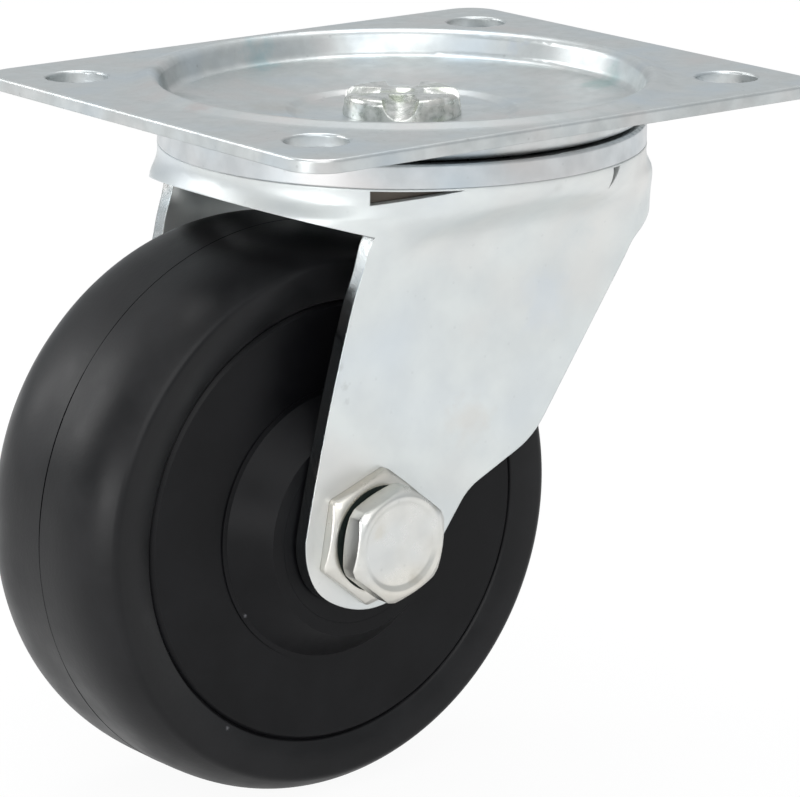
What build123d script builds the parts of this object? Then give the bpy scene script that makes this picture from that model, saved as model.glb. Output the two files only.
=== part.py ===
"""Swivel trolley caster: dished top plate, double ball race, one-piece pressed fork and a solid wheel.

The origin is the centre of the top plate's upper face, on the swivel axis. +Z is up, X runs along the plate's
long side and the wheel trails towards -X. The wheel turns about Y. All sizes are in millimetres.
"""
import os
from math import atan2, ceil, cos, radians, sin, tan

from build123d import *

os.makedirs("parts", exist_ok=True)

# Top plate, pressed from sheet, with a round dish that holds the staked end of the kingpin
dish_rim_r = 37.0
plate_end_margin = 7.0
plate_side_margin = 1.0
plate_sheet = 1.8
plate_corner_r = 5.0
plate_edge_round = 0.4
bolt_end_margin = 9.0
bolt_side_margin = 11.0
bolt_hole_d = 8.5
bolt_hole_round = 0.35
dish_lip_width = 3.5
dish_lip_height = 0.9
dish_wall_width = 1.2
dish_step_r = 15.9
dish_step_width = 1.3
dish_crease_depth = 3.12
dish_step_depth = 4.36
dish_depth = 5.0
dish_rim_bend = 4.0
dish_lip_bend = 1.4
dish_crease_bend = 1.2
dish_step_bend = 1.0

# Kingpin, staked over in the dish and headed under the lower race
pin_neck_r = 5.0
pin_shank_r = 6.7
staked_head_r = 8.1
staked_head_height = 3.1
staked_head_round = 0.9
staked_notch_r = 2.5
staked_notch_tilt = 20.0
staked_turn = 5.0
pin_dimple_r = 3.0
pin_dimple_depth = 0.7
pin_foot_r = 9.2
pin_foot_height = 2.36

# Ball tracks
upper_ball_d = 5.0
upper_track_r = 23.5
upper_ball_count = 29
lower_ball_d = 4.0
lower_track_r = 10.0
lower_ball_count = 15
ball_play = 0.02

# Race cup, the pressed ring that shows as a light band under the plate
cup_r = 33.4
cup_sheet = 2.0
cup_rim_height = 3.25
cup_rim_gap = 0.28
cup_rim_round = 0.45
cup_corner = 2.7
cup_corner_round = 0.15
cup_track_space = 0.1
cup_hub_drop = 2.1
pin_clearance = 0.3

# Lower race, a pressed cup on the kingpin
lower_race_sheet = 1.5
lower_race_height = 3.14
lower_race_space = 0.3
push_fit = 0.03

# Fork, one deep-drawn pressing. Each crown section is (depth under the crown's top, how far it stands
# proud of the crown at its two ends, shares of the way from the round crown to the straight legs that its
# sides and its corners have gone)
fork_sheet = 2.2
crown_r = 33.3
crown_edge_round = 0.15
crown_sections = [
    (0.0, 0.0, 0.0, 0.0),
    (1.2, 0.0, 0.02, 0.02),
    (2.4, 0.45, 0.11, 0.07),
    (3.8, 0.85, 0.3, 0.24),
    (5.6, 0.5, 0.58, 0.5),
    (8.0, -0.8, 0.84, 0.78),
    (10.5, -1.9, 0.96, 0.95),
    (13.0, -2.2, 1.0, 1.0),
    (16.0, -1.4, 1.0, 1.0),
]
leg_section_step = 3.0
leg_spread = 0.42
leg_y = 22.8
leg_corner_r = 11.0
cup_pocket_clearance = 0.2
lip_end = (-36.0, -2.75)
lip_corner = (-23.1, -6.5)
skirt_front_drop = 8.6
skirt_front_x = 31.0
leg_front_top = (22.3, -13.2)
leg_end_r = 11.0
leg_end_rear_angle = 175.0
leg_end_front_angle = -33.0
leg_rear_bow = 0.7
leg_front_knee = (27.6, 8.8)
leg_front_nose = (16.2, 3.5)

# Relief cuts where the skirt leaves the crown, on both sides
wedge_angle = 124.5
wedge_length = 12.5
wedge_height = 1.9
slit_angle = 69.5
slit_width = 1.9
slit_height = 3.2
relief_top_drop = 0.3

# Wheel place
trail = 22.8
wheel_headroom = 16.6

# Axle
axle_r = 4.0
axle_hole_clearance = 0.2
bolt_flats = 13.0
bolt_head_height = 3.9
jam_nut_flats = 16.0
jam_nut_height = 2.2
hex_turn = 20.0
hex_chamfer_angle = 30.0
washer_r = 8.0
washer_thickness = 1.6
nut_flats = 13.0
nut_hex_height = 5.6
nut_collar_height = 2.0
nut_collar_r = 5.8
insert_r = 5.0
bolt_end_beyond_nut = 1.2
bolt_end_chamfer = 0.8
sleeve_r = 6.0

# Wheel
wheel_r = 38.8
tread_crown = 3.2
tread_width = 30.4
tread_round = 0.7
face_inset = 0.1
tyre_depth = 8.7
tyre_seat_groove = 0.5
boss_foot_r = 18.3
boss_face_r = 14.4
boss_round = 0.6
boss_leg_gap = 0.4
bead_width = 0.7
bead_height = 0.25
liner_outer_r = 10.0
liner_inner_r = 9.0
cap_r = 12.6
cap_thickness = 1.5
roller_d = 2.9
roller_length = 28.0
roller_count = 9
roller_slot_play = 0.1
cage_wall = 2.0
cage_end = 2.5
running_gap = 0.3

# Places worked out from the sizes above
plate_length = 2 * (dish_rim_r + plate_end_margin)
plate_width = 2 * (dish_rim_r + plate_side_margin)
bolt_spacing_x = plate_length - 2 * bolt_end_margin
bolt_spacing_y = plate_width - 2 * bolt_side_margin
dish_lip_r = dish_rim_r - dish_lip_width
dish_crease_r = dish_lip_r - dish_wall_width
axle_drop = wheel_r + wheel_headroom
shoulder_r = wheel_r - tread_crown
tyre_seat_r = wheel_r - tyre_depth
dish_slope = atan2(dish_step_depth - dish_crease_depth, dish_crease_r - dish_step_r)


def plate_underside_z(radius):
    """Height of the dish's sloped underside at a radius between its step and its crease."""
    top = -dish_crease_depth - (dish_crease_r - radius) * tan(dish_slope)
    return top - plate_sheet / cos(dish_slope)


plate_foot_z = -dish_depth - plate_sheet
upper_ball_z = plate_underside_z(upper_track_r) - (upper_ball_d / 2 + ball_play) / cos(dish_slope)
cup_rim_z = plate_underside_z(dish_crease_r) - cup_rim_gap
crown_z = cup_rim_z - cup_rim_height
cup_track_wall_r = upper_ball_d / 2 + ball_play + cup_track_space
cup_floor_z = upper_ball_z - upper_ball_d / 2 - ball_play
cup_hub_z = crown_z + cup_sheet - cup_hub_drop + 1.25
cup_hub_foot_z = cup_hub_z - cup_sheet
lower_ball_z = cup_hub_foot_z - ball_play - lower_ball_d / 2
lower_floor_z = lower_ball_z - lower_ball_d / 2 - ball_play
pin_foot_z = lower_floor_z - lower_race_sheet


def sheet_section(points, bends, thickness, side):
    """Section of a bent sheet: one face's line, filleted at its corners, closed with its offset."""
    with BuildSketch(Plane.XZ) as section:
        with BuildLine():
            face_line = FilletPolyline(*points, radius=bends)
            offset(face_line, amount=thickness, side=side)
        make_face()
    return section.sketch


# Top plate: the dished sheet is turned about the swivel axis, then cut to the rounded rectangle
plate_blank_r = (plate_length + plate_width) / 2
plate_section = sheet_section(
    [
        (pin_neck_r, -dish_depth),
        (dish_step_r - dish_step_width, -dish_depth),
        (dish_step_r, -dish_step_depth),
        (dish_crease_r, -dish_crease_depth),
        (dish_lip_r, dish_lip_height),
        (dish_rim_r, 0),
        (plate_blank_r, 0),
    ],
    [dish_step_bend, dish_step_bend, dish_crease_bend, dish_lip_bend, dish_rim_bend],
    plate_sheet,
    Side.RIGHT,
)
with BuildPart() as top_plate:
    with BuildSketch(Plane.XZ):
        add(plate_section)
    revolve(axis=Axis.Z)
    with BuildSketch(Plane.XY.offset(plate_foot_z)):
        RectangleRounded(plate_length, plate_width, plate_corner_r)
    extrude(amount=dish_lip_height - plate_foot_z, mode=Mode.INTERSECT)
    plate_face = top_plate.faces().filter_by(Axis.Z).sort_by(Axis.Z)[-1]
    fillet(plate_face.outer_wire().edges(), plate_edge_round)
    with BuildSketch(Plane.XY):
        with GridLocations(bolt_spacing_x, bolt_spacing_y, 2, 2):
            Circle(bolt_hole_d / 2)
    extrude(amount=-plate_sheet, mode=Mode.SUBTRACT)
    plate_face = top_plate.faces().filter_by(Axis.Z).sort_by(Axis.Z)[-1]
    hole_edges = plate_face.edges().filter_by(GeomType.CIRCLE)
    fillet(hole_edges.filter_by(lambda edge: edge.radius == bolt_hole_d / 2), bolt_hole_round)

# Kingpin: turned body, then the four notches and the dimple left by staking its end
head_z = -dish_depth + staked_head_height
with BuildPart() as kingpin:
    with BuildSketch(Plane.XZ):
        with BuildLine():
            Polyline(
                (0, pin_foot_z - pin_foot_height),
                (pin_foot_r, pin_foot_z - pin_foot_height),
                (pin_foot_r, pin_foot_z),
                (pin_shank_r, pin_foot_z),
                (pin_shank_r, plate_foot_z),
                (pin_neck_r - push_fit, plate_foot_z),
                (pin_neck_r - push_fit, -dish_depth),
                (staked_head_r, -dish_depth),
                (staked_head_r, head_z),
                (0, head_z),
                close=True,
            )
        make_face()
    revolve(axis=Axis.Z)
    top_rim = kingpin.edges().filter_by(GeomType.CIRCLE).group_by(Axis.Z)[-1]
    fillet(top_rim, staked_head_round)
    foot_rim = kingpin.edges().filter_by(GeomType.CIRCLE).group_by(Axis.Z)[0]
    fillet(foot_rim, staked_head_round / 2)
    with Locations((0, 0, head_z)):
        with PolarLocations(staked_head_r, 4, start_angle=45 + staked_turn):
            Cylinder(
                staked_notch_r,
                staked_head_r * 1.2,
                rotation=(0, 90 + staked_notch_tilt, 0),
                mode=Mode.SUBTRACT,
            )
    with Locations((0, 0, head_z + pin_dimple_r - pin_dimple_depth)):
        Sphere(pin_dimple_r, mode=Mode.SUBTRACT)

# Race cup: a rim under the plate's edge, a ledge on the crown, the upper ball track and a hub for the lower balls
cup_track_out_r = upper_track_r + cup_track_wall_r
cup_track_in_r = upper_track_r - cup_track_wall_r
cup_section = sheet_section(
    [
        (cup_r - cup_sheet, cup_rim_z),
        (cup_r - cup_sheet, crown_z + cup_sheet),
        (cup_track_out_r, crown_z + cup_sheet),
        (cup_track_out_r, cup_floor_z),
        (cup_track_in_r, cup_floor_z),
        (cup_track_in_r, cup_hub_z),
        (pin_shank_r + pin_clearance, cup_hub_z),
    ],
    [0.5, 0.6, 1.2, 1.2, 0.6],
    cup_sheet,
    Side.LEFT,
)
with BuildPart() as race_cup:
    with BuildSketch(Plane.XZ):
        add(cup_section)
        with Locations((cup_r, crown_z)):
            Rectangle(cup_corner, cup_corner, align=(Align.MAX, Align.MIN))
    revolve(axis=Axis.Z)
    rim_edges = race_cup.edges().filter_by(GeomType.CIRCLE).group_by(Axis.Z)[-1]
    fillet(rim_edges, cup_rim_round)
    outer_edges = race_cup.edges().filter_by(GeomType.CIRCLE).filter_by(lambda edge: edge.radius == cup_r)
    fillet(outer_edges.sort_by(Axis.Z)[0], cup_corner_round)

# Lower race: a pressed cup on the kingpin's foot that holds the lower balls
lower_wall_r = lower_track_r + lower_ball_d / 2 + lower_race_space
lower_section = sheet_section(
    [
        (pin_shank_r + push_fit, lower_floor_z),
        (lower_wall_r, lower_floor_z),
        (lower_wall_r, lower_floor_z + lower_race_height),
    ],
    [1.2],
    lower_race_sheet,
    Side.RIGHT,
)
with BuildPart() as lower_race:
    with BuildSketch(Plane.XZ):
        add(lower_section)
    revolve(axis=Axis.Z)


# Balls: both races run full, without cages
with BuildPart() as upper_balls:
    with Locations((0, 0, upper_ball_z)):
        with PolarLocations(upper_track_r, upper_ball_count):
            Sphere(upper_ball_d / 2)

with BuildPart() as lower_balls:
    with Locations((0, 0, lower_ball_z)):
        with PolarLocations(lower_track_r, lower_ball_count):
            Sphere(lower_ball_d / 2)


# Fork: one shell drawn from a round crown into two straight legs, then trimmed from the side
def drawn_body(inset):
    """Solid inside the fork's outer skin, or inside its inner skin when inset by the sheet."""
    with BuildPart() as body:
        for depth, proud, side_share, corner_share in crown_sections + leg_sections:
            half_length = crown_r + proud - inset
            half_width = crown_r + side_share * (leg_y - crown_r) - inset
            corner = crown_r + corner_share * (leg_corner_r - crown_r) - inset
            corner = min(corner, 0.99 * half_length, 0.99 * half_width)
            with BuildSketch(Plane.XY.offset(crown_z - depth)):
                RectangleRounded(2 * half_length, 2 * half_width, corner)
        loft()
        if inset:
            split(bisect_by=Plane.XY.offset(crown_z - inset), keep=Keep.BOTTOM)
        else:
            fillet(body.faces().sort_by(Axis.Z)[-1].edges(), crown_edge_round)
    return body.part


def on_leg_end(angle):
    """Point on the round end of a leg, in X and Z, at an angle from +X."""
    return (-trail + leg_end_r * cos(radians(angle)), -axle_drop + leg_end_r * sin(radians(angle)))


axle_axis = Axis((-trail, 0, -axle_drop), (0, 1, 0))
leg_inner_y = leg_y - fork_sheet
crown_foot, foot_proud = crown_sections[-1][:2]
leg_sections = []
for step in range(1, ceil((axle_drop + leg_end_r) / leg_section_step)):
    run = step * leg_section_step
    leg_sections.append((crown_foot + run, foot_proud + run * leg_spread, 1.0, 1.0))
leg_rear_top = (lip_corner[0], crown_z + lip_corner[1])
fork_skin = drawn_body(0)
fork_hollow = drawn_body(fork_sheet)
with BuildPart() as fork:
    add(fork_skin)
    add(fork_hollow, mode=Mode.SUBTRACT)
    with BuildSketch(Plane.XZ):
        with BuildLine():
            rear_end = on_leg_end(leg_end_rear_angle)
            rear_middle = (
                (leg_rear_top[0] + rear_end[0]) / 2 - leg_rear_bow,
                (leg_rear_top[1] + rear_end[1]) / 2,
            )
            ThreePointArc(leg_rear_top, rear_middle, rear_end)
            ThreePointArc(rear_end, on_leg_end(-100), on_leg_end(leg_end_front_angle))
            FilletPolyline(
                on_leg_end(leg_end_front_angle),
                (leg_front_nose[0] - trail, leg_front_nose[1] - axle_drop),
                (leg_front_knee[0] - trail, leg_front_knee[1] - axle_drop),
                (leg_front_top[0], crown_z + leg_front_top[1]),
                (skirt_front_x, crown_z - skirt_front_drop),
                (plate_length, crown_z - skirt_front_drop),
                (plate_length, crown_z),
                (-2 * crown_r, crown_z),
                (-2 * crown_r, crown_z + lip_end[1]),
                (lip_end[0], crown_z + lip_end[1]),
                leg_rear_top,
                radius=[8.0, 12.0, 6.0, 4.0, 0, 0, 0, 0, 0],
            )
        make_face()
    extrude(amount=plate_length, both=True, mode=Mode.INTERSECT)
    with BuildSketch(Plane.XY.offset(crown_z)):
        Circle(cup_track_out_r + cup_sheet + cup_pocket_clearance)
    extrude(amount=-2 * fork_sheet, mode=Mode.SUBTRACT)
    with BuildSketch(Plane(origin=(-trail, 0, -axle_drop), x_dir=(1, 0, 0), z_dir=(0, -1, 0))):
        Circle(axle_r + axle_hole_clearance)
    extrude(amount=leg_y * 2, both=True, mode=Mode.SUBTRACT)
    relief_top = crown_z - relief_top_drop
    for side in (-1, 1):
        wedge_face = Plane.YZ.rotated((0, 0, side * wedge_angle))
        with BuildSketch(wedge_face.offset(crown_r - fork_sheet)):
            with BuildLine():
                Polyline(
                    (-side * wedge_length / 2, relief_top),
                    (side * wedge_length / 2, relief_top),
                    (side * wedge_length / 2, relief_top - wedge_height),
                    close=True,
                )
            make_face()
        extrude(amount=3 * fork_sheet, mode=Mode.SUBTRACT)
        slit_face = Plane.YZ.rotated((0, 0, side * slit_angle))
        with BuildSketch(slit_face.offset(crown_r - fork_sheet)):
            with BuildLine():
                Polyline(
                    (-slit_width / 2, relief_top),
                    (slit_width / 2, relief_top),
                    (0, relief_top - slit_height),
                    close=True,
                )
            make_face()
        extrude(amount=3 * fork_sheet, mode=Mode.SUBTRACT)

# Axle: places along Y are measured from the wheel's middle, the near side is -Y
hub_middle = Plane(origin=(-trail, 0, -axle_drop), x_dir=(0, 1, 0), z_dir=(1, 0, 0))
bolt_hex_y = leg_y + jam_nut_height
washer_y = leg_y + washer_thickness
nut_top_y = washer_y + nut_hex_height
nut_end_y = nut_top_y + nut_collar_height
bolt_end_y = nut_end_y + bolt_end_beyond_nut


def axle_plane(y):
    """Plane across the axle at a place along Y, facing the near side."""
    return Plane(origin=(-trail, y, -axle_drop), x_dir=(1, 0, 0), z_dir=(0, -1, 0))


def turned_ring(points):
    """Ring turned about the axle from a closed outline of (place along Y, radius) points."""
    with BuildPart() as ring:
        with BuildSketch(hub_middle):
            with BuildLine():
                Polyline(*points, close=True)
            make_face()
        revolve(axis=axle_axis)
    return ring.part


def hexagon(flats, near_y, far_y, chamfer_near, chamfer_far):
    """Hexagon across the axle, its chosen ends bevelled all round as a turned blank leaves them."""
    corner_r = flats / 2 / cos(radians(30))
    end_r = flats / 2 * 0.97
    bevel = (corner_r - end_r) * tan(radians(hex_chamfer_angle))
    outline = [(near_y, 0), (far_y, 0)]
    outline += [(far_y, end_r), (far_y - bevel, corner_r)] if chamfer_far else [(far_y, corner_r)]
    outline += [(near_y + bevel, corner_r), (near_y, end_r)] if chamfer_near else [(near_y, corner_r)]
    blank = turned_ring(outline)
    with BuildPart() as prism:
        with BuildSketch(axle_plane(far_y)):
            RegularPolygon(corner_r, 6, rotation=hex_turn)
        extrude(amount=far_y - near_y)
        add(blank, mode=Mode.INTERSECT)
    return prism.part


bolt_head = hexagon(bolt_flats, -bolt_hex_y - bolt_head_height, -bolt_hex_y, True, True)
with BuildPart() as axle_bolt:
    add(bolt_head)
    with BuildSketch(axle_plane(-bolt_hex_y)):
        Circle(axle_r)
    extrude(amount=-(bolt_hex_y + bolt_end_y))
    bolt_end = axle_bolt.faces().sort_by(Axis.Y)[-1]
    chamfer(bolt_end.edges(), bolt_end_chamfer)

jam_hexagon = hexagon(jam_nut_flats, -bolt_hex_y, -leg_y, True, False)
with BuildPart() as axle_jam_nut:
    add(jam_hexagon)
    with BuildSketch(axle_plane(-leg_y)):
        Circle(axle_r + push_fit)
    extrude(amount=bolt_hex_y - leg_y, mode=Mode.SUBTRACT)

with BuildPart() as axle_sleeve:
    with BuildSketch(axle_plane(leg_inner_y)):
        Circle(sleeve_r)
        Circle(axle_r + push_fit, mode=Mode.SUBTRACT)
    extrude(amount=2 * leg_inner_y)

with BuildPart() as axle_washer:
    with BuildSketch(axle_plane(washer_y)):
        Circle(washer_r)
        Circle(axle_r + push_fit, mode=Mode.SUBTRACT)
    extrude(amount=washer_thickness)
    chamfer(axle_washer.faces().sort_by(Axis.Y)[-1].outer_wire().edges(), washer_thickness / 4)

nut_hexagon = hexagon(nut_flats, washer_y, nut_top_y, False, True)
with BuildPart() as axle_nut:
    add(nut_hexagon)
    with BuildSketch(axle_plane(nut_top_y)):
        Circle(nut_collar_r)
    extrude(amount=-nut_collar_height)
    with BuildSketch(axle_plane(washer_y)):
        Circle(axle_r + push_fit)
    extrude(amount=washer_y - nut_end_y, mode=Mode.SUBTRACT)
    with BuildSketch(axle_plane(nut_end_y)):
        Circle(insert_r)
    extrude(amount=nut_collar_height, mode=Mode.SUBTRACT)

with BuildPart() as nut_insert:
    with BuildSketch(axle_plane(nut_end_y)):
        Circle(insert_r)
        Circle(axle_r + push_fit, mode=Mode.SUBTRACT)
    extrude(amount=nut_collar_height)

# Tyre: crowned tread, rounded shoulders, a fine groove where it meets the centre
tread_half = tread_width / 2
face_y = tread_half - face_inset
with BuildPart() as tyre:
    with BuildSketch(hub_middle) as tyre_section:
        with BuildLine():
            ThreePointArc((-tread_half, shoulder_r), (0, wheel_r), (tread_half, shoulder_r))
            Polyline(
                (tread_half, shoulder_r),
                (face_y, tyre_seat_r + tyre_seat_groove),
                (face_y - tyre_seat_groove, tyre_seat_r),
                (tyre_seat_groove - face_y, tyre_seat_r),
                (-face_y, tyre_seat_r + tyre_seat_groove),
                (-tread_half, shoulder_r),
            )
        make_face()
        section_ends = tyre_section.vertices().group_by(Axis.X)
        fillet(section_ends[0] + section_ends[-1], tread_round)
    revolve(axis=axle_axis)

# Wheel centre: flat faces, a conical boss on each side, recesses for the bearing's caps
boss_y = leg_inner_y - boss_leg_gap
cap_y = boss_y - cap_thickness
with BuildPart() as wheel_centre:
    with BuildSketch(hub_middle):
        with BuildLine():
            half = [
                (0, tyre_seat_r),
                (face_y - tyre_seat_groove, tyre_seat_r),
                (face_y, tyre_seat_r - tyre_seat_groove),
                (face_y, boss_foot_r + bead_width),
                (face_y + bead_height, boss_foot_r + bead_width),
                (face_y + bead_height, boss_foot_r),
                (boss_y, boss_face_r),
                (boss_y, cap_r + push_fit),
                (cap_y, cap_r + push_fit),
                (cap_y, liner_outer_r + push_fit),
                (0, liner_outer_r + push_fit),
            ]
            Polyline(*half)
            Polyline(*[(-y, r) for y, r in half])
        make_face()
    revolve(axis=axle_axis)

# Wheel bearing: a steel liner in the centre's bore, caged rollers on the sleeve and a cap at each end
with BuildPart() as hub_liner:
    with BuildSketch(axle_plane(cap_y)):
        Circle(liner_outer_r)
        Circle(liner_inner_r, mode=Mode.SUBTRACT)
    extrude(amount=2 * cap_y)

with BuildPart() as bearing_cap_near:
    with BuildSketch(axle_plane(-cap_y)):
        Circle(cap_r)
        Circle(sleeve_r + running_gap, mode=Mode.SUBTRACT)
    extrude(amount=cap_thickness)

with BuildPart() as bearing_cap_far:
    with BuildSketch(axle_plane(boss_y)):
        Circle(cap_r)
        Circle(sleeve_r + running_gap, mode=Mode.SUBTRACT)
    extrude(amount=cap_thickness)

roller_circle_r = (sleeve_r + liner_inner_r) / 2
with BuildPart() as rollers:
    with BuildSketch(axle_plane(roller_length / 2)):
        with PolarLocations(roller_circle_r, roller_count):
            Circle(roller_d / 2)
    extrude(amount=roller_length)

cage_half = roller_length / 2 + cage_end
with BuildPart() as roller_cage:
    with BuildSketch(axle_plane(cage_half)):
        Circle(roller_circle_r + cage_wall / 2)
        Circle(roller_circle_r - cage_wall / 2, mode=Mode.SUBTRACT)
    extrude(amount=2 * cage_half)
    with BuildSketch(axle_plane(roller_length / 2 + roller_slot_play)):
        with PolarLocations(roller_circle_r, roller_count):
            Circle(roller_d / 2 + roller_slot_play)
    extrude(amount=roller_length + 2 * roller_slot_play, mode=Mode.SUBTRACT)

# Labels and files
top_plate.part.label = "top_plate"
kingpin.part.label = "kingpin"
race_cup.part.label = "race_cup"
lower_race.part.label = "lower_race"
upper_balls.part.label = "upper_balls"
lower_balls.part.label = "lower_balls"
fork.part.label = "fork"
axle_bolt.part.label = "axle_bolt"
axle_jam_nut.part.label = "axle_jam_nut"
axle_sleeve.part.label = "axle_sleeve"
axle_washer.part.label = "axle_washer"
axle_nut.part.label = "axle_nut"
nut_insert.part.label = "nut_insert"
tyre.part.label = "tyre"
wheel_centre.part.label = "wheel_centre"
hub_liner.part.label = "hub_liner"
bearing_cap_near.part.label = "bearing_cap_near"
bearing_cap_far.part.label = "bearing_cap_far"
roller_cage.part.label = "roller_cage"
rollers.part.label = "rollers"

export_step(top_plate.part, "parts/top_plate.step")
export_step(kingpin.part, "parts/kingpin.step")
export_step(race_cup.part, "parts/race_cup.step")
export_step(lower_race.part, "parts/lower_race.step")
export_step(upper_balls.part, "parts/upper_balls.step")
export_step(lower_balls.part, "parts/lower_balls.step")
export_step(fork.part, "parts/fork.step")
export_step(axle_bolt.part, "parts/axle_bolt.step")
export_step(axle_jam_nut.part, "parts/axle_jam_nut.step")
export_step(axle_sleeve.part, "parts/axle_sleeve.step")
export_step(axle_washer.part, "parts/axle_washer.step")
export_step(axle_nut.part, "parts/axle_nut.step")
export_step(nut_insert.part, "parts/nut_insert.step")
export_step(tyre.part, "parts/tyre.step")
export_step(wheel_centre.part, "parts/wheel_centre.step")
export_step(hub_liner.part, "parts/hub_liner.step")
export_step(bearing_cap_near.part, "parts/bearing_cap_near.step")
export_step(bearing_cap_far.part, "parts/bearing_cap_far.step")
export_step(roller_cage.part, "parts/roller_cage.step")
export_step(rollers.part, "parts/rollers.step")
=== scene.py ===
"""Looks of a swivel trolley caster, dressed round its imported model. Lengths are in metres, +Z is up."""
import math

import bmesh
import bpy
import numpy as np
from mathutils import Matrix, Vector

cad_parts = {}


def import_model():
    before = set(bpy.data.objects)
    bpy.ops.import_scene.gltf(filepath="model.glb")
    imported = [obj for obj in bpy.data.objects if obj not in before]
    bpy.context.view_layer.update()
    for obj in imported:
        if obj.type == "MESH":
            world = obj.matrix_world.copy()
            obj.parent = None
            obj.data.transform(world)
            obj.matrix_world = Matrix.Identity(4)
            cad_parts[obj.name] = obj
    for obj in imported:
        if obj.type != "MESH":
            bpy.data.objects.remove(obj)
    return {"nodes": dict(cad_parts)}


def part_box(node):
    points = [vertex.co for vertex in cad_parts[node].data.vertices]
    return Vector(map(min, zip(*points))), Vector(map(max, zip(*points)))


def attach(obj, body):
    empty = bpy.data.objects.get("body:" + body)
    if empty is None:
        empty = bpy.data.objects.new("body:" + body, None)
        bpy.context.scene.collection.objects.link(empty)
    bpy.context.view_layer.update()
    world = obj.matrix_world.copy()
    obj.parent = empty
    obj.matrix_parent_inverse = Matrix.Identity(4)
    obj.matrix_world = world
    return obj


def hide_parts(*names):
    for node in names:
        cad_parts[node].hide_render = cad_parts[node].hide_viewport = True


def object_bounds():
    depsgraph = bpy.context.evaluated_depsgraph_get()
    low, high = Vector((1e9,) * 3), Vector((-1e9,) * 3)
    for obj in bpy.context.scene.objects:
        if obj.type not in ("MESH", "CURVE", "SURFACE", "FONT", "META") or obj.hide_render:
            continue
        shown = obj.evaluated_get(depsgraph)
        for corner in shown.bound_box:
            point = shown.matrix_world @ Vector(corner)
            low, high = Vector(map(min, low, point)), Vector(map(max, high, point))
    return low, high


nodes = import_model()["nodes"]
cad_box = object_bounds()
MM = 0.001


# Top plate.
# A flat mild-steel plate with a round dish pressed into it, barrel plated in bright zinc. The bath leaves a
# cloudy satin grey, with a faint film of blue and pink, and dull specks where the plates knocked together.
def linear(hex_colour):
    """A hex colour as written on a screen, turned to linear light: ((c + 0.055) / 1.055) to the power 2.4."""
    screen = [int(hex_colour[i:i + 2], 16) / 255 for i in (1, 3, 5)]
    light = [c / 12.92 if c <= 0.04045 else ((c + 0.055) / 1.055) ** 2.4 for c in screen]
    return (*light, 1.0)


def add(tree, kind, inputs=None, **settings):
    """Adds a node. Settings are its attributes, and inputs its sockets, each given a value or linked."""
    made = tree.nodes.new(kind)
    for name, value in settings.items():
        setattr(made, name, value)
    for name, value in (inputs or {}).items():
        socket = made.inputs[name]
        if isinstance(value, bpy.types.NodeSocket):
            tree.links.new(value, socket)
        else:
            socket.default_value = value
    return made


def new_material(name):
    """An empty material, its node tree and the coordinates fixed to the piece."""
    made = bpy.data.materials.new(name)
    made.use_nodes = True
    made.node_tree.nodes.clear()
    where = add(made.node_tree, "ShaderNodeTexCoord").outputs["Object"]
    return made, made.node_tree, where


def marked(tree, where, colour, marks):
    """Lays each mark over a colour: a soft-edged blot round a place in mm, its rim broken up by a fine noise.

    A mark is (place, radius in mm, share at its middle, colour).
    """
    for place, radius, share, tone in marks:
        ragged = add(tree, "ShaderNodeTexNoise", {"Vector": where, "Scale": 2.2 / (radius * MM), "Detail": 3.0})
        centre = tuple(MM * value for value in place)
        away = add(tree, "ShaderNodeVectorMath", {0: where, 1: centre}, operation="DISTANCE")
        wobble = add(tree, "ShaderNodeMath", {0: ragged.outputs["Fac"], 1: 1.5 * radius * MM}, operation="MULTIPLY")
        reach = add(tree, "ShaderNodeMath", {0: away.outputs["Value"], 1: wobble.outputs[0]}, operation="ADD")
        edges = {"Value": reach.outputs[0], "From Min": 0.9 * radius * MM, "From Max": 1.6 * radius * MM}
        blot = add(tree, "ShaderNodeMapRange", {**edges, "To Min": share, "To Max": 0.0})
        mix = {0: blot.outputs["Result"], 6: colour, 7: linear(tone)}
        colour = add(tree, "ShaderNodeMix", mix, data_type="RGBA").outputs[2]
    return colour


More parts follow.
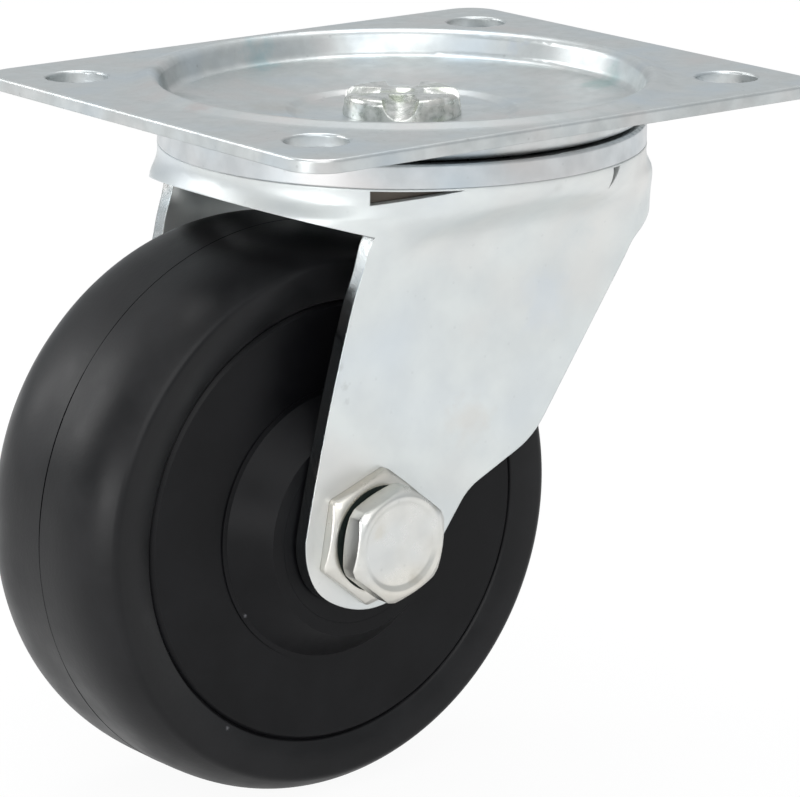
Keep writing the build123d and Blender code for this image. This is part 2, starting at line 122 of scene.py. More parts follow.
def zinc(name, pale, dull, film, rough, cloud_mm, grain_mm, relief_mm, flecks, marks=(), shaded_cuts=False, metal=1.0):
    """Bright zinc plate on steel: clouded between two greys, a thin film of colour, and a fine orange peel.

    Flecks is how strongly the dull specks show, and the sheared edges are worn round by a few tenths of a mm. A
    metal share under 1 stands for the milky haze that scatters light on the paler pieces.
    """
    made, tree, where = new_material(name)
    cloud = add(tree, "ShaderNodeTexNoise", {"Vector": where, "Scale": 1 / (cloud_mm * MM), "Detail": 5.0})
    tone = add(tree, "ShaderNodeMapRange", {"Value": cloud.outputs["Fac"], "From Min": 0.36, "From Max": 0.64})
    mix = {0: tone.outputs["Result"], 6: linear(pale), 7: linear(dull)}
    colour = add(tree, "ShaderNodeMix", mix, data_type="RGBA").outputs[2]
    drift = add(tree, "ShaderNodeTexNoise", {"Vector": where, "Scale": 1 / (4.2 * cloud_mm * MM), "Detail": 2.0})
    for low, high, tint in ((0.52, 0.72, film[0]), (0.48, 0.3, film[1])):
        veil = add(
            tree,
            "ShaderNodeMapRange",
            {"Value": drift.outputs["Fac"], "From Min": low, "From Max": high, "To Max": 0.6},
        )
        mix = {0: veil.outputs["Result"], 6: colour, 7: linear(tint)}
        colour = add(tree, "ShaderNodeMix", mix, data_type="RGBA").outputs[2]
    speck = add(tree, "ShaderNodeTexVoronoi", {"Vector": where, "Scale": 1 / (2.6 * MM), "Randomness": 1.0})
    fleck = add(
        tree,
        "ShaderNodeMapRange",
        {"Value": speck.outputs["Distance"], "From Min": 0.05, "From Max": 0.11, "To Min": flecks, "To Max": 0.0},
    )
    mix = {0: fleck.outputs["Result"], 6: colour, 7: linear("#8C9090")}
    colour = add(tree, "ShaderNodeMix", mix, data_type="RGBA").outputs[2]
    colour = marked(tree, where, colour, marks)
    rough_span = {"Value": cloud.outputs["Fac"], "From Min": 0.3, "From Max": 0.7}
    roughness = add(tree, "ShaderNodeMapRange", {**rough_span, "To Min": rough[0], "To Max": rough[1]})
    shine = roughness.outputs["Result"]
    if shaded_cuts:
        # Painted shade: the steel inside the relief cuts under the crown is darkened to a brownish grey, standing for
        # the shadow in them.
        cut_shade_radius, cut_shade_foot = 31.9 * MM, -10.9 * MM
        split = add(tree, "ShaderNodeSeparateXYZ", {0: where})
        flat = add(tree, "ShaderNodeCombineXYZ", {0: split.outputs["X"], 1: split.outputs["Y"]})
        radius = add(tree, "ShaderNodeVectorMath", {0: flat.outputs[0]}, operation="LENGTH")
        inside = add(tree, "ShaderNodeMath", {0: radius.outputs["Value"], 1: cut_shade_radius}, operation="LESS_THAN")
        above = add(tree, "ShaderNodeMath", {0: split.outputs["Z"], 1: cut_shade_foot}, operation="GREATER_THAN")
        both = add(tree, "ShaderNodeMath", {0: inside.outputs[0], 1: above.outputs[0]}, operation="MULTIPLY")
        mix = {0: both.outputs[0], 6: colour, 7: linear("#5A534C")}
        colour = add(tree, "ShaderNodeMix", mix, data_type="RGBA").outputs[2]
    grain = add(tree, "ShaderNodeTexNoise", {"Vector": where, "Scale": 1 / (grain_mm * MM), "Detail": 3.0})
    worn = add(tree, "ShaderNodeBevel", {"Radius": 0.25 * MM}, samples=4)
    peel = {"Height": grain.outputs["Fac"], "Strength": 1.0, "Distance": relief_mm * MM}
    height = add(tree, "ShaderNodeBump", {**peel, "Normal": worn.outputs["Normal"]})
    surface = {"Base Color": colour, "Metallic": metal, "Roughness": shine, "Normal": height.outputs["Normal"]}
    shader = add(tree, "ShaderNodeBsdfPrincipled", surface)
    add(tree, "ShaderNodeOutputMaterial", {"Surface": shader.outputs["BSDF"]})
    return made


def dress(names, material):
    """Gives modelled nodes their material, and leaves their mesh as model.glb holds it."""
    for name in names:
        for slot in nodes[name].material_slots:
            slot.material = material


plate_specks_and_shade = (
    ((-29.7, -12.5, 0.4), 0.7, 0.5, "#6E7478"),
    ((-27.6, -14.6, 0.4), 0.5, 0.45, "#70767B"),
    ((-1.2, -31.8, 0.4), 0.6, 0.5, "#5F6568"),
    ((-18.5, 37.5, 0.0), 1.1, 0.5, "#6B6F6F"),
    # Painted shade: this teal patch darkens the dish's far wall.
    ((0.0, 31.4, -1.5), 4.2, 0.5, "#8FB4BB"),
    ((33.0, 13.4, -1.5), 3.6, 0.4, "#A3B4CC"),
    # Painted shade: this teal patch and the grey one after it darken the dish's right and left flanks.
    ((29.4, -7.1, -3.1), 4.5, 0.45, "#7FA9A6"),
    ((-23.7, 21.2, -1.5), 5.0, 0.55, "#858A87"),
    ((-35.4, -2.3, 0.0), 3.2, 0.3, "#BFA9A6"),
    ((-14.0, 10.0, -3.6), 6.0, 0.3, "#B3ACA2"),
)
plate_zinc = zinc(
    "bright_zinc_pressed_plate",
    pale="#CBCFCF",
    dull="#BCC0C0",
    film=("#BCC7CF", "#C9C4C2"),
    rough=(0.32, 0.42),
    cloud_mm=3.0,
    grain_mm=0.5,
    relief_mm=0.004,
    flecks=0.3,
    marks=plate_specks_and_shade,
)
dress(["top_plate"], plate_zinc)


# Kingpin.
# A turned steel pin whose top end is staked over in the dish with a four-lobed punch. The struck faces are
# burnished brighter and a little warmer than the sheet round them.
kingpin_zinc = zinc(
    "staked_zinc_pin",
    pale="#E8E9E6",
    dull="#B4B8B3",
    film=("#DCE2CC", "#D2CFCA"),
    rough=(0.16, 0.3),
    cloud_mm=1.1,
    grain_mm=0.4,
    relief_mm=0.02,
    flecks=0.2,
)
dress(["kingpin"], kingpin_zinc)


# Ball races.
# The race cup is pressed sheet, and its rim is the light band under the plate. The lower race is a smaller cup,
# and both hold loose bearing balls, ground and polished.
race_zinc = zinc(
    "bright_zinc_race_cup",
    pale="#CCD0D2",
    dull="#C0C4C6",
    film=("#BCC8D0", "#C8C4C2"),
    rough=(0.3, 0.38),
    cloud_mm=3.4,
    grain_mm=0.5,
    relief_mm=0.003,
    flecks=0.15,
)
dress(["race_cup", "lower_race"], race_zinc)


def polished(name, colour, rough):
    """Ground bearing steel: a clean mirror with hair-fine smears of oil in its gloss."""
    made, tree, where = new_material(name)
    smear = add(tree, "ShaderNodeTexNoise", {"Vector": where, "Scale": 1 / (1.5 * MM), "Detail": 4.0})
    shine = add(tree, "ShaderNodeMapRange", {"Value": smear.outputs["Fac"], "To Min": rough[0], "To Max": rough[1]})
    surface = {"Base Color": linear(colour), "Metallic": 1.0, "Roughness": shine.outputs["Result"]}
    shader = add(tree, "ShaderNodeBsdfPrincipled", surface)
    add(tree, "ShaderNodeOutputMaterial", {"Surface": shader.outputs["BSDF"]})
    return made


dress(["upper_balls", "lower_balls", "rollers"], polished("ground_bearing_steel", "#BFC1C4", (0.08, 0.2)))


# Fork.
# One piece of deep-drawn steel: a round crown that turns into two flat legs, plated in the same zinc bath. Its
# broad faces are smoother and paler than the plate, with a bruise near the trailing edge of the near leg.
axle_x_mm, axle_z_mm = -22.8, -55.4


def placed(name, data):
    """An object at the origin and unturned, linked to the scene."""
    made = bpy.data.objects.new(name, data)
    bpy.context.scene.collection.objects.link(made)
    return made


def face_values(mesh, kind):
    """The normal or the center of each face, one row a face."""
    values = np.empty(3 * len(mesh.polygons), dtype=np.float32)
    mesh.polygons.foreach_get(kind, values)
    return values.reshape(-1, 3)


def flat_leg(points):
    """Points of the drawn fork with the trailing edge of its legs struck flat, as the finishing die leaves it.

    The drawn shell curls in there round a corner of radius R about x = c: its outer skin is at
    y = w - R + sqrt(R^2 - (c - x)^2), and its inner skin the same with R less the sheet. Each point keeps its
    share of the way between the two skins, and the skins go out to y = w and w less the sheet. The move fades
    in from the crown's foot downwards as 3 t^2 - 2 t^3. The round end of the leg is 0.9 mm shallower than a half
    circle, and that fades in the same way from 5 mm under the axle.
    """
    leg_y, sheet, corner = 22.8 * MM, 2.2 * MM, 11.0 * MM
    crown_foot, flat_below = -13.5 * MM, -21.5 * MM
    # The corner's middle c runs down the raked leg, through this place in x and z.
    rake, corner_x, corner_z = 0.42, -20.9 * MM, -24.45 * MM
    inside_leg_y, end_starts, end_fades_over, end_rises = 12 * MM, 5 * MM, 6 * MM, 0.9 * MM
    x, y, z = points.T
    middle = corner_x + rake * (z - corner_z)
    past = np.clip(middle - x, 0.0, corner - sheet - 0.2 * MM)
    outer = leg_y - corner + np.sqrt(corner**2 - past**2)
    inner = leg_y - corner + np.sqrt((corner - sheet) ** 2 - past**2)
    share = (np.abs(y) - inner) / (outer - inner)
    part = np.clip((crown_foot - z) / (crown_foot - flat_below), 0.0, 1.0)
    fade = 3 * part**2 - 2 * part**3
    flat = np.sign(y) * (leg_y - sheet + share * sheet)
    leg = (past > 0) & (np.abs(y) > inside_leg_y)
    below = np.clip((axle_z_mm * MM - z - end_starts) / end_fades_over, 0.0, 1.0)
    raised = z + end_rises * (3 * below**2 - 2 * below**3)
    return np.stack([x, np.where(leg, y + fade * (flat - y), y), raised], axis=-1)


def merged_copy(name, node):
    """A copy of a modelled node with its loose triangles joined, smooth except at edges sharper than 32 degrees."""
    mesh = bpy.data.meshes.new(name)
    shape = bmesh.new()
    shape.from_mesh(nodes[node].data)
    bmesh.ops.remove_doubles(shape, verts=shape.verts, dist=0.002 * MM)
    shape.to_mesh(mesh)
    shape.free()
    if "custom_normal" in mesh.attributes:
        mesh.attributes.remove(mesh.attributes["custom_normal"])
    mesh.polygons.foreach_set("use_smooth", np.ones(len(mesh.polygons), dtype=bool))
    mesh.set_sharp_from_angle(angle=math.radians(32))
    return placed(name, mesh)


drawn_fork = merged_copy("drawn_fork", "fork")
drawn = drawn_fork.data
drawn_points = np.empty(3 * len(drawn.vertices), dtype=np.float32)
drawn.vertices.foreach_get("co", drawn_points)
struck_points = flat_leg(drawn_points.reshape(-1, 3).astype(float))
drawn.vertices.foreach_set("co", struck_points.astype(np.float32).ravel())
drawn.update()
even_faces = drawn_fork.modifiers.new("even_faces", "WEIGHTED_NORMAL")
even_faces.keep_sharp = True
fork_bruise_and_shade = (
    ((-28.0, -22.8, -31.6), 0.8, 0.35, "#A6A9A8"),
    ((-27.4, -22.8, -34.4), 0.9, 0.32, "#ABAEAC"),
    ((-27.0, -22.8, -36.4), 0.7, 0.3, "#A6A9A8"),
    # Painted shade: this brownish patch darkens the hollow under the race cup's band, where the trailing lip meets the
    # near leg.
    ((-17.5, -24.2, -13.0), 1.6, 0.4, "#B7A79C"),
    # Painted shade, tinted like the zinc's film: these three soft patches darken the near leg towards its leading side
    # and its foot.
    ((6.6, -22.8, -27.9), 6.0, 0.35, "#C9D1DA"),
    ((12.0, -22.8, -18.0), 5.0, 0.35, "#C4CCCE"),
    ((-6.3, -22.8, -42.4), 5.0, 0.35, "#CFC9C2"),
)
fork_zinc = zinc(
    "bright_zinc_drawn_fork",
    pale="#D8DCDB",
    dull="#D1D5D5",
    film=("#CDD5DC", "#D7D3CF"),
    rough=(0.34, 0.42),
    cloud_mm=6.0,
    grain_mm=0.6,
    relief_mm=0.002,
    flecks=0.1,
    marks=fork_bruise_and_shade,
    # The relief cuts under the crown get painted shade.
    shaded_cuts=True,
    metal=0.6,
)
# The blade burnishes the sheared edges of the legs, so they mirror what is beside them. Those are the leg's
# faces that look hardly at all along Y.
sheared_zinc = zinc(
    "burnished_zinc_sheared_edge",
    pale="#C4C8C8",
    dull="#AEB2B3",
    film=("#B9C2C6", "#C4C0BC"),
    rough=(0.1, 0.2),
    cloud_mm=1.2,
    grain_mm=0.3,
    relief_mm=0.003,
    flecks=0.1,
)
drawn.materials.clear()
drawn.materials.append(fork_zinc)
drawn.materials.append(sheared_zinc)
facing_out = face_values(drawn, "normal")
face_middle = face_values(drawn, "center")
leg_past_y, leg_below_z, most_along_y = 18.5 * MM, -15.0 * MM, 0.4
on_leg = (np.abs(face_middle[:, 1]) > leg_past_y) & (face_middle[:, 2] < leg_below_z)
sheared = on_leg & (np.abs(facing_out[:, 1]) < most_along_y)
drawn.polygons.foreach_set("material_index", sheared.astype(np.int32))
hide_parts("fork")
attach(drawn_fork, "swivel_fork")


# Axle.
# A hexagon bolt, cold forged with a shallow sunk top, and a thin nut that locks it off the leg. A tube runs
# between the legs, and a washer and a locking nut hold the far end. All plated, with a warm worn gloss.
def forged_hexagon(name, stations, flats, turn, corners, around=360):
    """A hexagon piece about the axle, swept through stations of (radius, place along Y, share, lean) in mm.

    At an angle a the hexagon reaches h(a) = flats / 2 / cos(a - middle of the nearest flat), its corners worn to
    a share of their reach. A station reaches radius + share * (h - radius), and its place moves by
    lean * (h - flats / 2), which cuts a turned bevel. A first or last radius of 0 closes on one point, and other
    pieces close on their own first station.
    """
    angle = np.linspace(0.0, 2 * np.pi, around, endpoint=False) + math.radians(turn)
    off_flat = np.mod(angle - math.radians(turn), np.pi / 3) - np.pi / 6
    hexagon = np.minimum(flats / 2 / np.cos(off_flat), corners * flats / math.sqrt(3))
    radius, place, share, lean = (np.array(column)[:, None] for column in zip(*stations))
    reach = radius + share * (hexagon[None, :] - radius)
    along = place + lean * (hexagon[None, :] - flats / 2)
    across = [axle_x_mm + reach * np.cos(angle), along, axle_z_mm + reach * np.sin(angle)]
    points = np.stack(across, axis=-1).reshape(-1, 3) * MM
    rings = len(stations)
    open_ends = stations[0][0] == 0
    row = np.arange(rings - 1 if open_ends else rings)[:, None] * around
    step = np.arange(around)[None, :]
    after_row = (row + around) % (rings * around)
    after = (step + 1) % around
    faces = np.stack([row + step, after_row + step, after_row + after, row + after], axis=-1).reshape(-1, 4)
    mesh = bpy.data.meshes.new(name)
    mesh.from_pydata(points.tolist(), [], faces.tolist())
    mesh.polygons.foreach_set("use_smooth", np.ones(len(mesh.polygons), dtype=bool))
    shape = bmesh.new()
    shape.from_mesh(mesh)
    bmesh.ops.remove_doubles(shape, verts=shape.verts, dist=0.001 * MM)
    bmesh.ops.recalc_face_normals(shape, faces=shape.faces)
    shape.to_mesh(mesh)
    shape.free()
    return placed(name, mesh)


bevel = math.tan(math.radians(30))
shank_radius, thread_depth, thread_from, thread_step = 4.0, 0.45, 29.0, 0.31
thread = [(shank_radius - thread_depth * (ring % 2), thread_from + thread_step * ring, 0.0, 0.0) for ring in range(12)]
forged_bolt = forged_hexagon(
    "forged_axle_bolt",
    [
        (0.0, -28.75, 0.0, 0.0),
        (5.3, -28.75, 0.0, 0.0),
        (5.6, -28.78, 0.0, 0.0),
        (6.0, -29.08, 0.0, 0.0),
        (6.15, -29.12, 0.0, 0.0),
        (6.6, -29.12, 0.0, 0.0),
        (6.75, -29.08, 0.0, 0.0),
        (7.0, -28.93, 1.0, bevel),
        (7.0, -28.78, 1.0, bevel),
        (7.0, -26.0, 1.0, -bevel),
        (7.0, -25.85, 1.0, -bevel),
        (6.8, -25.68, 0.0, 0.0),
        (6.5, -25.66, 0.0, 0.0),
        (6.3, -25.6, 0.0, 0.0),
        (6.3, -24.65, 0.0, 0.0),
        (4.0, -24.62, 0.0, 0.0),
        (4.0, -24.4, 0.0, 0.0),
        (4.0, 28.8, 0.0, 0.0),
        *thread,
        (3.2, 33.2, 0.0, 0.0),
        (0.0, 33.2, 0.0, 0.0),
    ],
    flats=14.2,
    turn=21.0,
    corners=0.96,
)
forged_nut = forged_hexagon(
    "forged_axle_jam_nut",
    [
        (4.05, -24.2, 0.0, 0.0),
        (4.4, -24.58, 0.0, 0.0),
        (7.2, -24.6, 0.0, 0.0),
        (7.6, -24.55, 0.0, 0.0),
        (8.0, -24.4, 1.0, bevel),
        (8.0, -24.25, 1.0, bevel),
        (8.0, -22.95, 1.0, 0.0),
        (8.0, -22.82, 1.0, 0.0),
        (7.8, -22.8, 0.0, 0.0),
        (4.05, -22.8, 0.0, 0.0),
    ],
    flats=16.2,
    turn=20.0,
    corners=0.985,
)
bolt_marks = (
    ((-26.0, -28.8, -53.0), 1.6, 0.3, "#C9C3B4"),
    ((-20.5, -28.8, -60.2), 1.6, 0.4, "#B9B3A6"),
    ((-16.9, -29.0, -51.0), 1.0, 0.35, "#B4AE9C"),
)
bolt_zinc = zinc(
    "forged_zinc_fasteners",
    pale="#DCDAD3",
    dull="#D3D1CA",
    film=("#D0D4D6", "#DAD2C6"),
    rough=(0.26, 0.36),
    cloud_mm=3.0,
    grain_mm=0.4,
    relief_mm=0.003,
    flecks=0.15,
    marks=bolt_marks,
)


def painted_gap_shade():
    """Painted shade for the gap behind the bolt's head, standing for the shadow there: nearly black, a little green,
    and dull.
    """
    made, tree, where = new_material("painted_shade_behind_head")
    mottle = add(tree, "ShaderNodeTexNoise", {"Vector": where, "Scale": 1 / (0.8 * MM), "Detail": 4.0})
    mix = {0: mottle.outputs["Fac"], 6: linear("#0E1513"), 7: linear("#27302D")}
    colour = add(tree, "ShaderNodeMix", mix, data_type="RGBA").outputs[2]
    height = add(tree, "ShaderNodeBump", {"Height": mottle.outputs["Fac"], "Distance": 0.05 * MM})
    surface = {"Base Color": colour, "Roughness": 0.5, "Specular IOR Level": 0.25, "Normal": height.outputs["Normal"]}
    shader = add(tree, "ShaderNodeBsdfPrincipled", surface)
    add(tree, "ShaderNodeOutputMaterial", {"Surface": shader.outputs["BSDF"]})
    return made


gap_shade = painted_gap_shade()
# Painted shade: the faces of the bolt and nut between the head and the nut take the near-black material.
gap_from_y, gap_to_y, gap_radius = -25.62 * MM, -24.56 * MM, 7.25 * MM
for piece, node in ((forged_bolt, "axle_bolt"), (forged_nut, "axle_jam_nut")):
    piece.data.materials.append(bolt_zinc)
    piece.data.materials.append(gap_shade)
    middles = face_values(piece.data, "center")
    from_axle = np.hypot(middles[:, 0] - axle_x_mm * MM, middles[:, 2] - axle_z_mm * MM)
    in_gap = (middles[:, 1] > gap_from_y) & (middles[:, 1] < gap_to_y) & (from_axle < gap_radius)
    piece.data.polygons.foreach_set("material_index", in_gap.astype(np.int32))
    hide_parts(node)
    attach(piece, "swivel_fork")
dress(["axle_washer", "axle_nut", "axle_sleeve", "hub_liner"], bolt_zinc)


# Wheel.
# A moulded black polypropylene centre, with two caps over its bearing, and a cage and a nut's insert of natural
# nylon. Both plastics have a satin skin that catches soft sheens, the black one the least.
def moulded(name, base, worn, rough, gloss, cloud_mm, grain_mm, relief_mm, turned_mm, marks=()):
    """Moulded plastic or rubber: a base colour, another where handled, and the mould's faint turning rings."""
    made, tree, where = new_material(name)
    cloud = add(tree, "ShaderNodeTexNoise", {"Vector": where, "Scale": 1 / (cloud_mm * MM), "Detail": 6.0})
    tone = add(tree, "ShaderNodeMapRange", {"Value": cloud.outputs["Fac"], "From Min": 0.42, "From Max": 0.75})
    mix = {0: tone.outputs["Result"], 6: linear(base), 7: linear(worn)}
    colour = add(tree, "ShaderNodeMix", mix, data_type="RGBA").outputs[2]
    colour = marked(tree, where, colour, marks)
    to_axle = (-axle_x_mm * MM, 0.0, -axle_z_mm * MM)
    axle = add(tree, "ShaderNodeVectorMath", {0: where, 1: to_axle}, operation="ADD")
    split = add(tree, "ShaderNodeSeparateXYZ", {0: axle.outputs[0]})
    flat = add(tree, "ShaderNodeCombineXYZ", {0: split.outputs["X"], 1: split.outputs["Z"]})
    radius = add(tree, "ShaderNodeVectorMath", {0: flat.outputs[0]}, operation="LENGTH")
    ring = add(tree, "ShaderNodeCombineXYZ", {0: radius.outputs["Value"], 1: split.outputs["Y"]})
    turning = add(
        tree,
        "ShaderNodeTexNoise",
        {"Vector": ring.outputs[0], "Scale": 1 / (turned_mm * MM), "Detail": 2.0},
    )
    rough_span = {"Value": cloud.outputs["Fac"], "From Min": 0.3, "From Max": 0.7}
    shine = add(tree, "ShaderNodeMapRange", {**rough_span, "To Min": rough[0], "To Max": rough[1]})
    grain = add(tree, "ShaderNodeTexNoise", {"Vector": where, "Scale": 1 / (grain_mm * MM), "Detail": 3.0})
    skin = add(tree, "ShaderNodeMath", {0: grain.outputs["Fac"], 1: turning.outputs["Fac"]}, operation="ADD")
    relief = {"Height": skin.outputs[0], "Strength": 1.0, "Distance": relief_mm * MM}
    height = add(tree, "ShaderNodeBump", relief)
    surface = {"Base Color": colour, "Roughness": shine.outputs["Result"], "Normal": height.outputs["Normal"]}
    shader = add(tree, "ShaderNodeBsdfPrincipled", {**surface, "Specular IOR Level": gloss})
    add(tree, "ShaderNodeOutputMaterial", {"Surface": shader.outputs["BSDF"]})
    return made


centre_specks_and_sheen = (
    ((-39.0, -15.2, -54.9), 0.4, 0.6, "#737377"),
    ((-38.2, -15.2, -65.4), 0.45, 0.6, "#77777B"),
    # Painted sheen: this lighter grey patch on the upper side of the boss stands for the light it catches there.
    ((-30.0, -17.5, -44.0), 2.0, 0.25, "#3A3A3E"),
)
centre_black = moulded(
    "moulded_polypropylene",
    base="#0A0A0C",
    worn="#131315",
    rough=(0.3, 0.42),
    gloss=0.15,
    cloud_mm=9.0,
    grain_mm=0.6,
    relief_mm=0.006,
    turned_mm=1.8,
    marks=centre_specks_and_sheen,
)
dress(["wheel_centre", "bearing_cap_near", "bearing_cap_far"], centre_black)
nylon = moulded(
    "natural_nylon",
    base="#C9C4B4",
    worn="#BDB7A5",
    rough=(0.38, 0.5),
    gloss=0.5,
    cloud_mm=4.0,
    grain_mm=0.4,
    relief_mm=0.004,
    turned_mm=2.0,
)
dress(["roller_cage", "nut_insert"], nylon)


# Tread.
# A ring of black rubber-like compound moulded round the wheel's centre, full across its middle and falling away
# to a crisp shoulder. The shoulder away from the bolt's head is broken back further.
def turned_tread(name, seat, around=256, across=64):
    """The tread, turned about the axle from an outline of (place along Y, radius) in mm.

    Its running face reaches 35.6 + 3.2 (1 - u^4), u going from -1 at the near shoulder to 1 at the far one. It
    stops just short of both, where the shoulders' own points take over.
    """
    middle, half, shoulder, rise, stop = -1.0, 14.2, 35.6, 3.2, 0.985
    part = np.linspace(-stop, stop, across)
    crown = np.stack([middle + half * part, shoulder + rise * (1 - part**4)], axis=-1)
    near = [(-14.6, seat), (-15.1, seat + 0.5), (-15.19, 34.9), (-15.2, 35.2), (-15.15, 35.45)]
    far = [(13.35, 35.55), (13.9, 35.25), (14.5, 34.75), (14.95, 34.1), (15.15, 33.4), (15.1, seat + 0.5), (14.6, seat)]
    outline = np.concatenate([near, crown, far]) * MM
    angle = np.linspace(0.0, 2 * np.pi, around, endpoint=False)[:, None]
    reach = outline[None, :, 1]
    axle_x, axle_z = axle_x_mm * MM, axle_z_mm * MM
    along = outline[None, :, 0] + 0 * angle
    points = np.stack([axle_x + reach * np.cos(angle), along, axle_z + reach * np.sin(angle)], axis=-1)
    count = len(outline)
    first = np.arange(around)[:, None] * count + np.arange(count)[None, :]
    after = (np.arange(around)[:, None] + 1) % around * count + np.arange(count)[None, :]
    faces = np.stack([first, np.roll(first, -1, axis=1), np.roll(after, -1, axis=1), after], axis=-1).reshape(-1, 4)
    mesh = bpy.data.meshes.new(name)
    mesh.from_pydata(points.reshape(-1, 3).tolist(), [], faces.tolist())
    shape = bmesh.new()
    shape.from_mesh(mesh)
    bmesh.ops.recalc_face_normals(shape, faces=shape.faces)
    shape.to_mesh(mesh)
    shape.free()
    mesh.polygons.foreach_set("use_smooth", np.ones(len(mesh.polygons), dtype=bool))
    mesh.set_sharp_from_angle(angle=math.radians(50))
    return placed(name, mesh)


centre_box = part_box("wheel_centre")
tread = turned_tread("moulded_tread", (centre_box[1][2] - centre_box[0][2]) / 2 / MM)
tread_marks = (
    ((-56.2, -12.1, -36.1), 0.9, 0.5, "#5A5A5E"),
    ((-56.4, -14.8, -36.3), 0.7, 0.5, "#626266"),
    ((-61.4, -11.1, -56.0), 0.35, 0.7, "#85858A"),
    ((-61.3, -14.9, -58.2), 0.35, 0.7, "#7C7C80"),
    ((-60.1, -11.7, -65.3), 0.35, 0.7, "#85858A"),
    ((-41.1, -15.2, -80.5), 0.4, 0.6, "#7A7A7E"),
    ((5.3, -15.2, -58.3), 0.4, 0.6, "#808084"),
)
tread_black = moulded(
    "moulded_rubber_tread",
    base="#0C0C0E",
    worn="#161618",
    rough=(0.34, 0.48),
    gloss=0.26,
    cloud_mm=7.0,
    grain_mm=0.5,
    relief_mm=0.012,
    turned_mm=2.4,
    marks=tread_marks,
)
tread.data.materials.append(tread_black)
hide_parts("tyre")
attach(tread, "wheel")


# Parting line of the tread.
# The thin line where the mould's two halves met, a little off the middle of the tread. Its near-black, matte colour is
# painted shade for the shadow along it. It was trimmed by hand, so its height wanders and it fades out in places.
def turned_rib(name, radius, line_y, height, width, around=360, across=7):
    """A rib round the wheel: its section is a half wave, height * cos(pi * v / 2) for v from -1 to 1 across it.

    It starts sunk 0.15 mm into the tread, so that its edges stay under the tread's face.

    The height wanders along the rib as 0.75 + 0.2 sin(7 u) + 0.1 sin(17 u + 1) of its size, u being the angle,
    and the width as 0.85 + 0.35 sin(5 u + 0.5).
    """
    angle = np.linspace(0.0, 2 * np.pi, around, endpoint=False)[:, None]
    part = np.linspace(-1.0, 1.0, across)[None, :]
    wander = 0.75 + 0.2 * np.sin(7 * angle) + 0.1 * np.sin(17 * angle + 1.0)
    sunk = 0.15 * MM
    reach = radius - sunk + (height * wander + sunk) * np.cos(np.pi * part / 2)
    side = line_y + width / 2 * part * (0.85 + 0.35 * np.sin(5 * angle + 0.5))
    axle_x, axle_z = axle_x_mm * MM, axle_z_mm * MM
    points = np.stack([axle_x + reach * np.cos(angle), side, axle_z + reach * np.sin(angle)], axis=-1)
    first = np.arange(around)[:, None] * across + np.arange(across - 1)[None, :]
    after = (np.arange(around)[:, None] + 1) % around * across + np.arange(across - 1)[None, :]
    faces = np.stack([first, first + 1, after + 1, after], axis=-1).reshape(-1, 4)
    edge_a = np.arange(around) * across
    edge_b = edge_a + across - 1
    closing = np.stack([edge_b, edge_a, np.roll(edge_a, -1), np.roll(edge_b, -1)], axis=-1)
    mesh = bpy.data.meshes.new(name)
    mesh.from_pydata(points.reshape(-1, 3).tolist(), [], np.concatenate([faces, closing]).tolist())
    mesh.polygons.foreach_set("use_smooth", np.ones(len(mesh.polygons), dtype=bool))
    return placed(name, mesh)


parting_rib = turned_rib(
    "tread_parting_rib",
    radius=38.79 * MM,
    line_y=-2.0 * MM,
    height=0.05 * MM,
    width=0.6 * MM,
)
# Painted shade: the rib is coloured near black and matte, for the shadow along the parting line.
line_shade = moulded(
    "painted_shade_along_parting_line",
    base="#020203",
    worn="#060607",
    rough=(0.6, 0.8),
    gloss=0.02,
    cloud_mm=3.0,
    grain_mm=0.4,
    relief_mm=0.004,
    turned_mm=2.0,
)
parting_rib.data.materials.append(line_shade)
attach(parting_rib, "wheel")


# Table and light.
# A white table in a pale room, under four soft boxes, as for a catalogue picture. The table shows white to the
# camera and in the metal, and keeps the caster's soft shadow.
floor_z = cad_box[0][2]
table_half = 3.0
table_corners = [(table_half * x, table_half * y, floor_z) for x, y in ((-1, -1), (1, -1), (1, 1), (-1, 1))]
floor_mesh = bpy.data.meshes.new("floor")
floor_mesh.from_pydata(table_corners, [], [(0, 1, 2, 3)])
floor = placed("floor", floor_mesh)
white_in_metal, white_in_view = 0.55, 0.94
table, tree, _ = new_material("white_table")
path = add(tree, "ShaderNodeLightPath")
either = {0: path.outputs["Is Glossy Ray"], 1: path.outputs["Is Transmission Ray"]}
mirrored = add(tree, "ShaderNodeMath", either, operation="MAXIMUM")
in_metal = add(tree, "ShaderNodeMath", {0: mirrored.outputs[0], 1: white_in_metal}, operation="MULTIPLY")
in_view = add(tree, "ShaderNodeMath", {0: path.outputs["Is Camera Ray"], 1: white_in_view}, operation="MULTIPLY")
share = add(tree, "ShaderNodeMath", {0: in_metal.outputs[0], 1: in_view.outputs[0]}, operation="MAXIMUM")
paint = add(tree, "ShaderNodeBsdfDiffuse", {"Color": linear("#F4F4F4")})
glow = add(tree, "ShaderNodeEmission", {"Color": (1, 1, 1, 1), "Strength": 1.0})
surface = add(tree, "ShaderNodeMixShader", {0: share.outputs[0], 1: paint.outputs[0], 2: glow.outputs[0]})
add(tree, "ShaderNodeOutputMaterial", {"Surface": surface.outputs[0]})
floor_mesh.materials.append(table)

world = bpy.data.worlds.new("studio")
bpy.context.scene.world = world
world.use_nodes = True
tree = world.node_tree
tree.nodes.clear()
facing = add(tree, "ShaderNodeTexCoord").outputs["Generated"]
split = add(tree, "ShaderNodeSeparateXYZ", {0: facing})
rise = add(tree, "ShaderNodeMapRange", {"Value": split.outputs["Z"], "From Min": 0.0, "From Max": 0.9})
mix = {0: rise.outputs["Result"], 6: linear("#C6CACD"), 7: linear("#F2F4F5")}
sky = add(tree, "ShaderNodeMix", mix, data_type="RGBA")
room = add(tree, "ShaderNodeBackground", {"Color": sky.outputs[2], "Strength": 0.9})
add(tree, "ShaderNodeOutputWorld", {"Surface": room.outputs[0]})


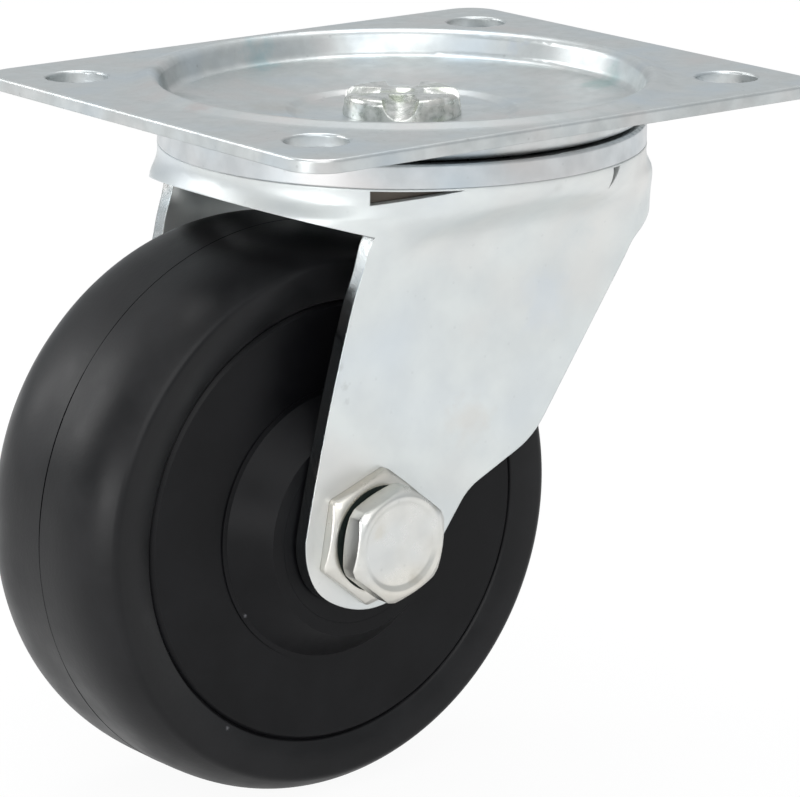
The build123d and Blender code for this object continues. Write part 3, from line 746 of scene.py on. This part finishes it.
def soft_box(name, place, aim, size, power):
    """A square area lamp at a place, turned to face a point, both in metres."""
    lamp = bpy.data.lights.new(name, "AREA")
    lamp.shape = "SQUARE"
    lamp.size = size
    lamp.energy = power
    holder = placed(name, lamp)
    turned = (Vector(place) - Vector(aim)).to_track_quat("Z", "Y").to_matrix().to_4x4()
    holder.matrix_world = Matrix.Translation(Vector(place)) @ turned


middle = (0.0, 0.0, -0.045)
soft_box("key", (-0.55, -0.85, 0.6), middle, size=0.9, power=5.0)
soft_box("top", (0.1, 0.2, 1.0), middle, size=0.8, power=5.0)
soft_box("back_left", (-0.7, 0.9, 0.45), middle, size=0.5, power=3.5)
soft_box("low_left", (-1.0, -0.2, 0.0), middle, size=0.45, power=3.5)


# Camera.
# The lens and place that fit the photograph's frame, 800 by 797.
focal_px = 4249.75
frame_width_px = 800
frame_height_px = 797
principal_x_px = 433.6
principal_y_px = 358.6
camera_data = bpy.data.cameras.new("camera")
camera_data.sensor_width = 36.0
camera_data.lens = focal_px * camera_data.sensor_width / frame_width_px
camera_data.shift_x = (frame_width_px / 2 - principal_x_px) / frame_width_px
camera_data.shift_y = (principal_y_px - frame_height_px / 2) / frame_width_px
azimuth = math.radians(-38.71)
elevation = math.radians(14.58)
roll = math.radians(0.24)
camera_place = Vector((-352.51, -446.96, 108.44)) * MM
back = Vector(
    (
        math.sin(azimuth) * math.cos(elevation),
        -math.cos(azimuth) * math.cos(elevation),
        math.sin(elevation),
    )
)
level = Vector((math.cos(azimuth), math.sin(azimuth), 0))
up = back.cross(level)
right = math.cos(roll) * level + math.sin(roll) * up
up = math.cos(roll) * up - math.sin(roll) * level
camera = placed("camera", camera_data)
camera.matrix_world = Matrix(
    (
        (right.x, up.x, back.x, camera_place.x),
        (right.y, up.y, back.y, camera_place.y),
        (right.z, up.z, back.z, camera_place.z),
        (0, 0, 0, 1),
    )
)
camera_data.clip_end = 20
bpy.context.scene.camera = camera
bpy.context.scene.view_settings.view_transform = "Standard"
